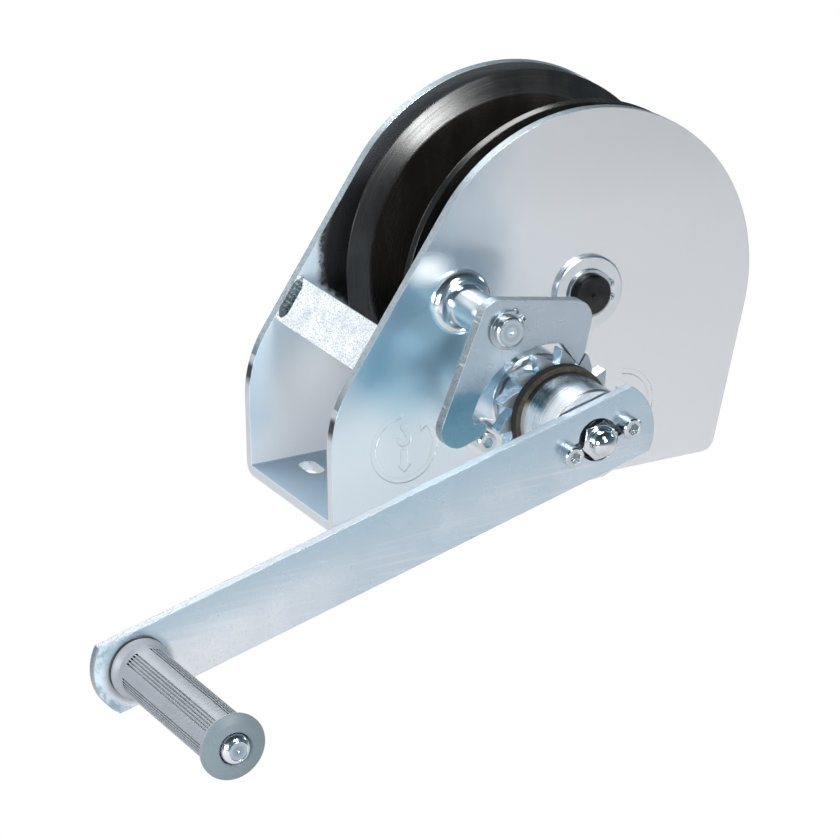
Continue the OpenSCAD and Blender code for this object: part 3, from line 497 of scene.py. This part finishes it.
def raw_zinc(name):
    """Rough hot-dip zinc on the tie plate: sparkling grains over a pale blue ground."""
    m = Mat(name)
    grains = m.cells(1100)
    fine = m.noise(1400, 1, 0.6)
    face = m.mix(m.fit(m.noise(90, 4, 0.6), 0.35, 0.65), (0.62, 0.65, 0.68), (0.84, 0.85, 0.86))
    face = m.mix(m.fit(fine, 0.50, 0.60, 0, 0.7), face, (0.26, 0.34, 0.40))
    face = m.mix(m.fit(grains, 0.30, 0.05), face, (0.90, 0.91, 0.92))
    color = m.mix(m.mul(m.arris(0.0005), 0.7), face, (0.62, 0.68, 0.72))
    normal = m.bump(m.add(m.mul(fine, 2.0), grains), 2 * RELIEF, m.soft_edges(0.0005))
    rough = m.fit(fine, 0.3, 0.7, 0.34, 0.52)
    return m.set(color=color, rough=rough, metal=0.8, normal=normal)


def turned_metal(name, axis, light, dark, rough, aniso, edge_r=0.0005, ring=1.0, front=None):
    """A turned steel piece, with fine rings round its own axis."""
    m = Mat(name)
    flat, tangent, radius = m.around(axis)
    rings = m.noise(2600, 4, 0.7, where=flat)
    wide = m.noise(420, 2, 0.5, where=flat)
    color = m.mix(m.fit(m.noise(60, 3, 0.5), 0.35, 0.65), dark, light)
    color = m.mix(m.fit(wide, 0.55, 0.8, 0, 0.25), color, scaled(dark, 0.8))
    # painted shade: faces that look to the front are painted darker, in the front colour
    if front:
        facing = m.less(m.split(m.coord.outputs["Normal"])[1], -0.9)
        turned = m.mix(m.fit(wide, 0.40, 0.62), front, scaled(front, 0.72))
        color = m.mix(facing, color, turned)
    roughness = m.add(rough, m.fit(rings, 0.3, 0.7, -0.04, 0.06))
    normal = m.bump(rings, 0.000012 * ring, m.soft_edges(edge_r))
    return m.set(color=color, rough=roughness, metal=1.0, aniso=aniso, tangent=tangent,
                 normal=normal)


def bright_metal(name, light, dark, rough, edge_r=0.0004, grain=1.0):
    """Bright zinc or chrome on small parts."""
    m = Mat(name)
    fine = m.noise(1800, 3, 0.6)
    color = m.mix(m.fit(m.noise(150, 3, 0.5), 0.35, 0.65), dark, light)
    color = m.mix(m.fit(fine, 0.55, 0.8, 0, 0.2 * grain), color, scaled(light, 0.8))
    roughness = m.add(rough, m.fit(fine, 0.3, 0.7, -0.02, 0.04))
    normal = m.bump(fine, 0.000008 * grain, m.soft_edges(edge_r))
    return m.set(color=color, rough=roughness, metal=1.0, normal=normal)


def painted(name, color, rough, axis):
    """Blackened sheet with a faint trace of the turning under a satin film."""
    m = Mat(name)
    brush = m.noise(900, 3, 0.6, where=m.around(axis)[0])
    streaks = m.noise(1, 4, 0.6, where=m.place((60, 60, 14), (0, 0.5, 0)))
    tone = m.mix(m.fit(streaks, 0.35, 0.7), scaled(color, 0.7), scaled(color, 1.5))
    tone = m.mix(m.fit(m.noise(2500, 2, 0.5), 0.68, 0.76, 0, 0.15), tone, (0.08, 0.08, 0.08))
    roughness = m.add(rough, m.fit(brush, 0.3, 0.7, -0.04, 0.06))
    roughness = m.add(roughness, m.fit(streaks, 0.35, 0.7, 0.0, 0.06))
    height = m.add(m.mul(m.noise(500, 2, 0.5), 0.6), m.mul(brush, 0.3))
    normal = m.bump(height, 0.00001, m.soft_edges(0.0006))
    return m.set(color=tone, rough=roughness, metal=0.0, normal=normal, spec=0.85)


def lining(name):
    """Pressed brake lining: brown-black with light fibres, and black on its rim."""
    m = Mat(name)
    fibre = m.noise(1, 4, 0.65, where=m.place((900, 2600, 900), (0.4, 0.3, 0.2)))
    grit = m.cells(1400)
    patch = m.fit(m.noise(260, 3, 0.6), 0.35, 0.65)
    face = m.mix(patch, (0.030, 0.026, 0.020), (0.085, 0.072, 0.052))
    face = m.mix(m.fit(fibre, 0.60, 0.72, 0, 0.5), face, (0.24, 0.21, 0.16))
    rim = m.mix(m.fit(fibre, 0.6, 0.75, 0, 0.4), (0.012, 0.011, 0.010), (0.12, 0.10, 0.08))
    color = m.mix(m.edge_mask(), face, rim)
    normal = m.bump(m.add(fibre, grit), 3 * RELIEF, m.soft_edges(0.0003))
    return m.set(color=color, rough=m.fit(grit, 0.1, 0.8, 0.55, 0.85), metal=0.0, normal=normal)


def ratchet(name):
    """Grained grey wheel faces with dark specks, and smooth blue-white tooth flanks."""
    m = Mat(name)
    edge = m.edge_mask()
    grain = m.noise(900, 4, 0.7)
    specks = m.noise(1500, 3, 0.7, distort=0.5)
    face = m.mix(m.fit(grain, 0.3, 0.7), (0.34, 0.42, 0.47), (0.60, 0.66, 0.70))
    face = m.mix(m.fit(specks, 0.60, 0.68, 0, 0.7), face, (0.08, 0.10, 0.11))
    flank = m.fit(m.noise(200, 3, 0.6), 0.4, 0.6)
    flank = m.mix(flank, (0.50, 0.62, 0.72), (0.80, 0.86, 0.90))
    rough = m.mixf(edge, m.fit(grain, 0.3, 0.7, 0.34, 0.5), 0.24)
    normal = m.bump(m.add(grain, specks), 2 * RELIEF, m.soft_edges(0.0005))
    return m.set(color=m.mix(edge, face, flank), rough=rough, metal=1.0, normal=normal)


def plastic(name, light, dark, rough):
    """Moulded plastic with a fine skin."""
    m = Mat(name)
    skin = m.noise(2200, 3, 0.6)
    color = m.mix(m.fit(m.noise(45, 3, 0.5), 0.35, 0.65), dark, light)
    dots = m.fit(m.noise(700, 4, 0.6), 0.6, 0.8, 0, 0.2)
    color = m.mix(dots, color, scaled(dark, 0.75))
    roughness = m.add(rough, m.fit(skin, 0.3, 0.7, -0.04, 0.06))
    normal = m.bump(skin, RELIEF, m.soft_edges(0.0005))
    return m.set(color=color, rough=roughness, metal=0.0, normal=normal, spec=0.5)


def grip_look(name):
    """The grip's grey plastic, with painted shade: a pit painted black at the start of every
    groove.
    """
    m = Mat(name)
    skin = m.noise(2200, 3, 0.6)
    flat, tangent, radius = m.around(GRIP)
    y = m.split(m.coord.outputs["Object"])[1]
    ny = m.split(m.coord.outputs["Normal"])[1]
    cloud = m.fit(m.noise(45, 3, 0.5), 0.35, 0.65)
    color = m.mix(cloud, (0.325, 0.35, 0.385), (0.365, 0.39, 0.425))
    dots = m.fit(m.noise(400, 1, 0.5), 0.6, 0.8, 0, 0.2)
    color = m.mix(dots, color, (0.24, 0.26, 0.29))
    # the outer face is greener and faintly ringed
    rings = m.fit(m.noise(700, 3, 0.6, where=flat), 0.5, 0.75, 0, 0.3)
    disc = m.mix(rings, (0.20, 0.25, 0.28), (0.27, 0.325, 0.355))
    face = m.mul(m.less(ny, -0.7), m.less(y, GRIP_FACE))
    color = m.mix(face, color, disc)
    # painted shade: the groove floor is painted black at the start of every groove
    pit = m.mul(m.less(radius, GROOVE_R), m.more(radius, 0.010))
    pit = m.mul(pit, m.more(y, GROOVE_START - 0.0012))
    color = m.mix(pit, color, (0.01, 0.01, 0.01))
    roughness = m.add(0.40, m.fit(skin, 0.3, 0.7, -0.04, 0.06))
    normal = m.bump(skin, 0.00001, m.soft_edges(0.0004))
    return m.set(color=color, rough=roughness, metal=0.0, normal=normal, spec=0.5)


def gear_steel(name):
    """Cut steel under a thin film of oil."""
    m = Mat(name)
    oil = m.noise(70, 4, 0.6)
    fine = m.noise(1500, 3, 0.6)
    color = m.mix(m.fit(oil, 0.4, 0.65), (0.16, 0.16, 0.16), (0.38, 0.39, 0.40))
    rough = m.add(m.fit(oil, 0.35, 0.65, 0.24, 0.42), m.fit(fine, 0.3, 0.7, -0.03, 0.03))
    normal = m.bump(fine, RELIEF, m.soft_edges(0.0004))
    return m.set(color=color, rough=rough, metal=1.0, normal=normal)


def bronze(name):
    """Sintered bronze with dark pores."""
    m = Mat(name)
    pores = m.noise(2000, 3, 0.7)
    cloud = m.fit(m.noise(120, 3, 0.5), 0.35, 0.65)
    color = m.mix(cloud, (0.42, 0.27, 0.12), (0.60, 0.42, 0.22))
    color = m.mix(m.fit(pores, 0.6, 0.7, 0, 0.6), color, (0.12, 0.08, 0.04))
    normal = m.bump(pores, RELIEF, m.soft_edges(0.0003))
    return m.set(color=color, rough=m.fit(pores, 0.3, 0.7, 0.3, 0.5), metal=1.0, normal=normal)


def paint(name, material):
    obj = nodes[name]
    obj.data.materials.clear()
    obj.data.materials.append(material)


# the look of each material slot
M = {
    "zinc_frame": zinc_frame("zinc_frame_look"),
    "raw_zinc": raw_zinc("raw_zinc_look"),
    "zinc_plate": zinc("zinc_plate_look", (0.78, 0.86, 0.93), (0.68, 0.78, 0.87), 0.28,
                       (0.84, 0.88, 0.90), cloud=20),
    "zinc_bright": bright_metal("zinc_bright_look", (0.90, 0.92, 0.94), (0.78, 0.83, 0.87), 0.16),
    "chrome_nut": bright_metal("chrome_nut_look", (0.84, 0.86, 0.88), (0.74, 0.77, 0.80), 0.08,
                               edge_r=0.0005, grain=0.4),
    "drum_black": painted("drum_black_look", (0.016, 0.0145, 0.013), 0.21, AXLE),
    "gear_steel": gear_steel("gear_steel_look"),
    "bronze": bronze("bronze_look"),
    "friction_lining": lining("friction_lining_look"),
    "ratchet_steel": ratchet("ratchet_steel_look"),
    "dark_plastic": plastic("dark_plastic_look", (0.05, 0.05, 0.055), (0.025, 0.025, 0.03), 0.45),
    "grip_plastic": grip_look("grip_plastic_look"),
    "polished_steel": turned_metal("polished_steel_look", SHAFT, (0.90, 0.91, 0.92),
                                   (0.78, 0.81, 0.84), 0.16, 0.4, ring=0.35),
    "black_steel": turned_metal("black_steel_look", AXLE, (0.07, 0.07, 0.072),
                                (0.03, 0.03, 0.03), 0.34, 0.3),
}
for part in frame["record"]["subparts"]:
    paint(part["node"], M[part["material_slot"]])

# the pieces that look different from the rest of their slot
# the pawl post's front colour is a painted shade on its forward end
paint("pawl_post", turned_metal("pawl_post_look", PIVOT, (0.90, 0.92, 0.94), (0.76, 0.82, 0.87),
                                0.15, 0.3, edge_r=0.0008, ring=0.4, front=(0.64, 0.74, 0.82)))
paint("crank_hub", turned_hub("crank_hub_look"))
# the crank arm's edge colours are painted paler at the grip than at the shaft, as painted light
paint("crank_arm", zinc_bar("crank_arm_look", (0.66, 0.74, 0.82), (0.56, 0.67, 0.76),
                            (0.30, 0.35, 0.39), (0.42, 0.46, 0.50), 0.27))
paint("pawl", pawl_plate("pawl_look"))
for name in ("crank_screws", "housing_screws"):
    paint(name, bright_metal(name + "_look", (0.74, 0.78, 0.81), (0.60, 0.66, 0.70), 0.14,
                             edge_r=0.0003, grain=0.3))
for name in ("pawl_circlip", "axle_circlips"):
    paint(name, bright_metal(name + "_look", (0.56, 0.62, 0.66), (0.42, 0.47, 0.50), 0.20,
                             edge_r=0.0003, grain=0.3))
paint("nut_washer", plastic("nut_washer_look", (0.02, 0.02, 0.02), (0.01, 0.01, 0.01), 0.3))
# the grip pin's front colour is a painted shade on its forward end
paint("grip_pin", turned_metal("grip_pin_look", GRIP, (0.86, 0.89, 0.92), (0.72, 0.79, 0.84),
                               0.16, 0.5, edge_r=0.0003, ring=1.5, front=(0.46, 0.57, 0.65)))
paint("axle_washers", turned_metal("axle_washer_look", AXLE, (0.88, 0.91, 0.93),
                                   (0.78, 0.83, 0.87), 0.20, 0.3, edge_r=0.0004, ring=0.5))


# ---------------------------------------------------------------- welds of the tie plate
def weld_look():
    """Dark blistered weld under zinc, with painted glints."""
    m = Mat("weld_look")
    grit = m.noise(500, 5, 0.7, distort=0.6)
    spark = m.cells(900)
    color = m.mix(m.fit(grit, 0.35, 0.6), (0.02, 0.022, 0.022), (0.22, 0.29, 0.33))
    # painted highlight: small white glints painted on the weld
    color = m.mix(m.fit(spark, 0.0, 0.22, 0.5, 0.0), color, (0.85, 0.88, 0.90))
    normal = m.bump(m.add(grit, spark), 0.0002)
    return m.set(color=color, rough=m.fit(grit, 0.3, 0.7, 0.28, 0.5), metal=1.0, normal=normal)


def weld_bead(name, start, along, length, across, out, width, height):
    """A bead of overlapping half moons, with its foot let in by a third of its height."""
    rng = random.Random(name)
    bm = bmesh.new()
    steps, around = 44, 12
    # of the half moons: their pitch, their lean and the share of the height that is let in
    pitch, lean, let_in = 0.0024, 0.0011, 0.33
    rows = []
    for i in range(steps + 1):
        t = i / steps
        ripple = abs(math.sin(t * length / pitch * math.pi)) ** 0.6
        end = min(1.0, 5 * t, 5 * (1 - t)) ** 0.5 if 0 < t < 1 else 0.15
        row = []
        for j in range(around + 1):
            a = math.pi * j / around
            w = width / 2 * end * (0.92 + 0.08 * ripple + 0.05 * rng.uniform(-1, 1))
            h = height * end * (0.78 + 0.22 * ripple + 0.08 * rng.uniform(-1, 1))
            lag = lean * math.sin(a)
            point = start + along * (t * length + lag) + across * (w * math.cos(a))
            point += out * (h * math.sin(a) - let_in * height)
            row.append(bm.verts.new(point))
        rows.append(row)
    for r0, r1 in zip(rows, rows[1:]):
        for j in range(around):
            bm.faces.new((r0[j], r0[j + 1], r1[j + 1], r1[j]))
        bm.faces.new((r0[0], r1[0], r1[around], r0[around]))
    bm.faces.new(rows[0])
    bm.faces.new(list(reversed(rows[-1])))
    bmesh.ops.recalc_face_normals(bm, faces=bm.faces)
    mesh = bpy.data.meshes.new(name)
    bm.to_mesh(mesh)
    bm.free()
    mesh.shade_smooth()
    mesh.materials.append(WELD)
    obj = bpy.data.objects.new(name, mesh)
    scene.collection.objects.link(obj)
    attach(obj, "frame")


WELD = weld_look()
# the sloping edge: square to it outwards, and up along it to the tie plate's lower corner
SLOPE_A = math.radians(145.16)
SLOPE_N = Vector((math.cos(SLOPE_A), 0, math.sin(SLOPE_A)))
SLOPE_D = Vector((SLOPE_N.z, 0, -SLOPE_N.x))
TIE_LOW = Vector((-0.0735, 0, 0.05829)) + SLOPE_D * 0.0255
weld_bead("weld_tie_far", TIE_LOW + Vector((0, 0.0374, 0)) + SLOPE_D * 0.0004, SLOPE_D, 0.0232,
          Vector((0, 1, 0)), SLOPE_N, 0.0098, 0.0018)
for tag, side in (("near", -1), ("far", 1)):
    outward = Vector((0, side, 0))
    foot = TIE_LOW + Vector((0, side * 0.0412, 0)) - SLOPE_N * 0.0054 + SLOPE_D * 0.001
    weld_bead("weld_under_" + tag, foot, SLOPE_D, 0.022, outward,
              (-SLOPE_N - outward).normalized(), 0.0040, 0.0016)


# ---------------------------------------------------------------- floor, lights, room
def make_floor():
    """A pale floor that the camera sees as burnt out white, as on a light table."""
    mesh = bpy.data.meshes.new("floor")
    size = 12.0
    corners = [(-size, -size), (size, -size), (size, size), (-size, size)]
    mesh.from_pydata([(x, y, FLOOR_Z) for x, y in corners], [], [(0, 1, 2, 3)])
    obj = bpy.data.objects.new("floor", mesh)
    scene.collection.objects.link(obj)
    m = Mat("floor_look")
    speck = m.noise(3, 2, 0.5)
    color = m.mix(speck, (0.50, 0.50, 0.50), (0.54, 0.54, 0.54))
    m.set(color=color, rough=0.9, metal=0.0, spec=0.1)
    m.put(m.bsdf.inputs["Emission Color"], (1, 1, 1, 1))
    m.put(m.bsdf.inputs["Emission Strength"], FLOOR_GLOW)
    white = m.node("ShaderNodeEmission")
    path = m.node("ShaderNodeLightPath")
    both = m.node("ShaderNodeMixShader")
    m.put(both.inputs[0], path.outputs["Is Camera Ray"])
    m.put(both.inputs[1], m.bsdf.outputs[0])
    m.put(both.inputs[2], white.outputs[0])
    m.put(m.out.inputs[0], both.outputs[0])
    mesh.materials.append(m.mat)


def softbox(name, place, width, height, power):
    """An area light that looks at the middle of the winch, in metres and watts."""
    data = bpy.data.lights.new(name, "AREA")
    data.shape = "RECTANGLE"
    data.size, data.size_y = width, height
    data.energy = power
    obj = bpy.data.objects.new(name, data)
    obj.location = place
    obj.rotation_euler = (Vector(MIDDLE) - Vector(place)).to_track_quat("-Z", "Y").to_euler()
    scene.collection.objects.link(obj)


make_floor()
softbox("top_box", (0.0, 0.30, 0.85), 0.55, 0.45, 6.0)
softbox("front_top_box", (0.0, -0.95, 1.0), 0.35, 0.30, 4.0)
softbox("right_box", (1.4, -0.05, 0.5), 0.30, 0.25, 1.2)
softbox("left_box", (-1.3, -0.72, 0.28), 0.6, 0.45, 12.0)
softbox("front_box", (0.16, -1.5, 0.60), 0.42, 0.26, 8.5)
softbox("back_left_box", (-0.8, 1.3, 0.5), 0.6, 0.4, 2.8)
softbox("back_box", (-0.15, 1.25, 0.85), 0.5, 0.35, 4.0)


def make_world():
    """A dim blue room for the reflections, which the camera sees as white."""
    world = bpy.data.worlds.new("studio")
    scene.world = world
    world.use_nodes = True
    tree = world.node_tree
    tree.nodes.clear()
    out = tree.nodes.new("ShaderNodeOutputWorld")
    back = tree.nodes.new("ShaderNodeBackground")
    coord = tree.nodes.new("ShaderNodeTexCoord")
    split = tree.nodes.new("ShaderNodeSeparateXYZ")
    ramp = tree.nodes.new("ShaderNodeValToRGB")
    tree.links.new(coord.outputs["Generated"], split.inputs[0])
    tree.links.new(split.outputs[2], ramp.inputs[0])
    ramp.color_ramp.elements[0].position = 0.0
    ramp.color_ramp.elements[0].color = (0.10, 0.17, 0.22, 1)
    ramp.color_ramp.elements[1].position = 0.9
    ramp.color_ramp.elements[1].color = (0.03, 0.045, 0.055, 1)
    tree.links.new(ramp.outputs[0], back.inputs[0])
    back.inputs[1].default_value = 1.0
    white = tree.nodes.new("ShaderNodeBackground")
    white.inputs[0].default_value = (1, 1, 1, 1)
    path = tree.nodes.new("ShaderNodeLightPath")
    both = tree.nodes.new("ShaderNodeMixShader")
    tree.links.new(path.outputs["Is Camera Ray"], both.inputs[0])
    tree.links.new(back.outputs[0], both.inputs[1])
    tree.links.new(white.outputs[0], both.inputs[2])
    tree.links.new(both.outputs[0], out.inputs[0])


make_world()
